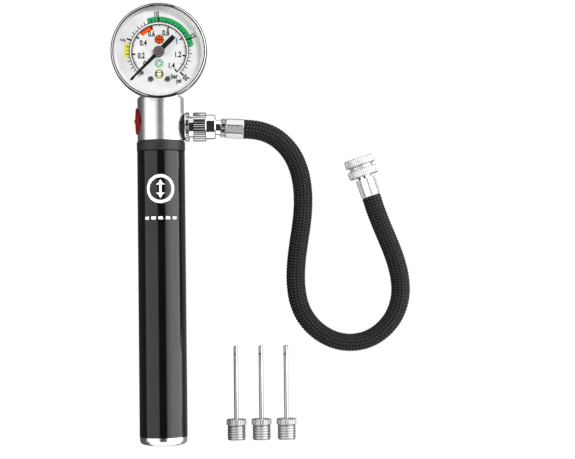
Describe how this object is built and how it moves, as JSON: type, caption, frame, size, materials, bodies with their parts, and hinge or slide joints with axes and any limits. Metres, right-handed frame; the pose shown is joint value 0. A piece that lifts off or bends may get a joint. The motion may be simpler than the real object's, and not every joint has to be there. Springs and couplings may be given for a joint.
{
  "type": "ball inflation pump",
  "caption": "Hand ball pump with a sliding black handle, chromed head, dial pressure gauge, press-to-bleed button, braided hose with a screw chuck, and loose needles.",
  "frame": {"origin": "centre of the gauge's flat back, on the surface that the pump lies on", "axes": "+Y along the barrel from the handle's cap to the gauge, +Z out of the dial, +X the side that the hose leaves"},
  "size_m": [0.1425, 0.2096, 0.029],
  "materials": {
    "chrome": "bright polished plating",
    "black_enamel": "satin black enamel",
    "cylinder_alloy": "drawn and polished",
    "bright_steel": "bright drawn steel",
    "brass": "turned brass",
    "black_rubber": "moulded rubber",
    "hose_braid": "tight herringbone nylon braid over a rubber hose",
    "white_plastic": "moulded acetal",
    "dark_plastic": "moulded nylon",
    "case_steel": "black painted pressed steel",
    "dial_enamel": "white enamel with printed scales",
    "clear_lens": "clear flat lens",
    "red_anodised": "red anodised, knurled",
    "dark_steel": "blackened steel",
    "pointer_black": "matt black paint",
    "hub_bronze": "dull bronze cap"
  },
  "bodies": {
    "pump_head": {"head_block": "chrome", "collar": "black_enamel", "inner_cylinder": "cylinder_alloy", "cylinder_gland": "dark_plastic", "gland_bumper": "black_rubber", "valve_seat": "brass", "valve_spring": "bright_steel", "bleed_guide": "brass", "bleed_spring": "bright_steel", "port_gasket": "black_rubber", "port_adapter": "chrome", "nut_washer": "black_rubber", "hose_stem": "chrome", "ferrule_near": "chrome", "hose": "hose_braid", "ferrule_far": "chrome", "chuck_stem": "chrome", "gauge_case": "case_steel", "gauge_bezel": "chrome", "lens_ring": "white_plastic", "gauge_lens": "clear_lens", "dial_plate": "dial_enamel", "dial_screws": "dark_steel", "stop_pin": "dark_steel", "hairspring": "brass", "back_plate": "brass", "front_plate": "brass", "movement_posts": "brass", "gauge_socket": "brass", "stem_seal": "black_rubber", "bourdon_tube": "brass", "tube_tip": "brass"},
    "handle": {"handle_tube": "black_enamel", "handle_bush": "white_plastic", "end_cap": "chrome", "cap_seal": "black_rubber", "piston_rod": "bright_steel", "piston": "white_plastic", "piston_seal": "black_rubber", "piston_screw": "bright_steel"},
    "outlet_valve": {"valve_disc": "black_rubber"},
    "bleed_valve": {"bleed_button": "red_anodised", "bleed_pin": "brass", "bleed_seal": "black_rubber"},
    "hose_nut": {"hose_nut": "chrome"},
    "needle_chuck": {"chuck_body": "chrome", "chuck_seal": "black_rubber"},
    "sector": {"sector_gear": "brass"},
    "link": {"gauge_link": "brass"},
    "pointer": {"pointer": "pointer_black", "pointer_hub": "hub_bronze", "pinion_shaft": "brass"},
    "needle_1": {"needle_base_1": "chrome", "needle_tube_1": "bright_steel"},
    "needle_2": {"needle_base_2": "chrome", "needle_tube_2": "bright_steel"},
    "needle_3": {"needle_base_3": "chrome", "needle_tube_3": "bright_steel"}
  },
  "joints": [
    {"name": "handle_pull", "type": "slide", "parent": "pump_head", "child": "handle", "axis": [0, -1, 0], "range_m": [0, 0.105]},
    {"name": "valve_lift", "type": "slide", "parent": "pump_head", "child": "outlet_valve", "axis": [0, 1, 0], "range_m": [0, 0.0008], "stiffness_N_per_m": 50, "springref_m": -0.002, "deforming": ["valve_spring"]},
    {"name": "bleed_press", "type": "slide", "parent": "pump_head", "child": "bleed_valve", "axis": [1, 0, 0], "range_m": [0, 0.0012], "stiffness_N_per_m": 400, "springref_m": -0.002, "deforming": ["bleed_spring"]},
    {"name": "nut_turn", "type": "hinge", "parent": "pump_head", "child": "hose_nut", "pos_m": [0.0206, -0.0347, 0.0116], "axis": [1, 0, 0], "continuous": true},
    {"name": "chuck_turn", "type": "hinge", "parent": "pump_head", "child": "needle_chuck", "pos_m": [0.09693, -0.05472, 0.0074], "axis": [-0.309, 0.9511, 0], "continuous": true},
    {"name": "sector_turn", "type": "hinge", "parent": "pump_head", "child": "sector", "pos_m": [0.0112, 0, 0.0177], "axis": [0, 0, 1], "range_deg": [0, 50], "stiffness_Nm_per_rad": 0.0005, "springref_deg": -11.46},
    {"name": "pointer_turn", "type": "hinge", "parent": "pump_head", "child": "pointer", "pos_m": [0, 0, 0.026], "axis": [0, 0, -1], "range_deg": [0, 270]},
    {"name": "link_swing", "type": "hinge", "parent": "sector", "child": "link", "pos_m": [0.01446, -0.00152, 0.0167], "axis": [0, 0, 1], "range_deg": [-50, 0]},
    {"name": "needle_1_lift", "type": "slide", "parent": "pump_head", "child": "needle_1", "axis": [0, 0, 1], "range_m": [0, 0.04]},
    {"name": "needle_2_lift", "type": "slide", "parent": "pump_head", "child": "needle_2", "axis": [0, 0, 1], "range_m": [0, 0.04]},
    {"name": "needle_3_lift", "type": "slide", "parent": "pump_head", "child": "needle_3", "axis": [0, 0, 1], "range_m": [0, 0.04]}
  ],
  "couplings": [
    {"joint": "pointer_turn", "follows": "sector_turn", "ratio": 5.4},
    {"joint": "link_swing", "follows": "sector_turn", "ratio": -1}
  ]
}
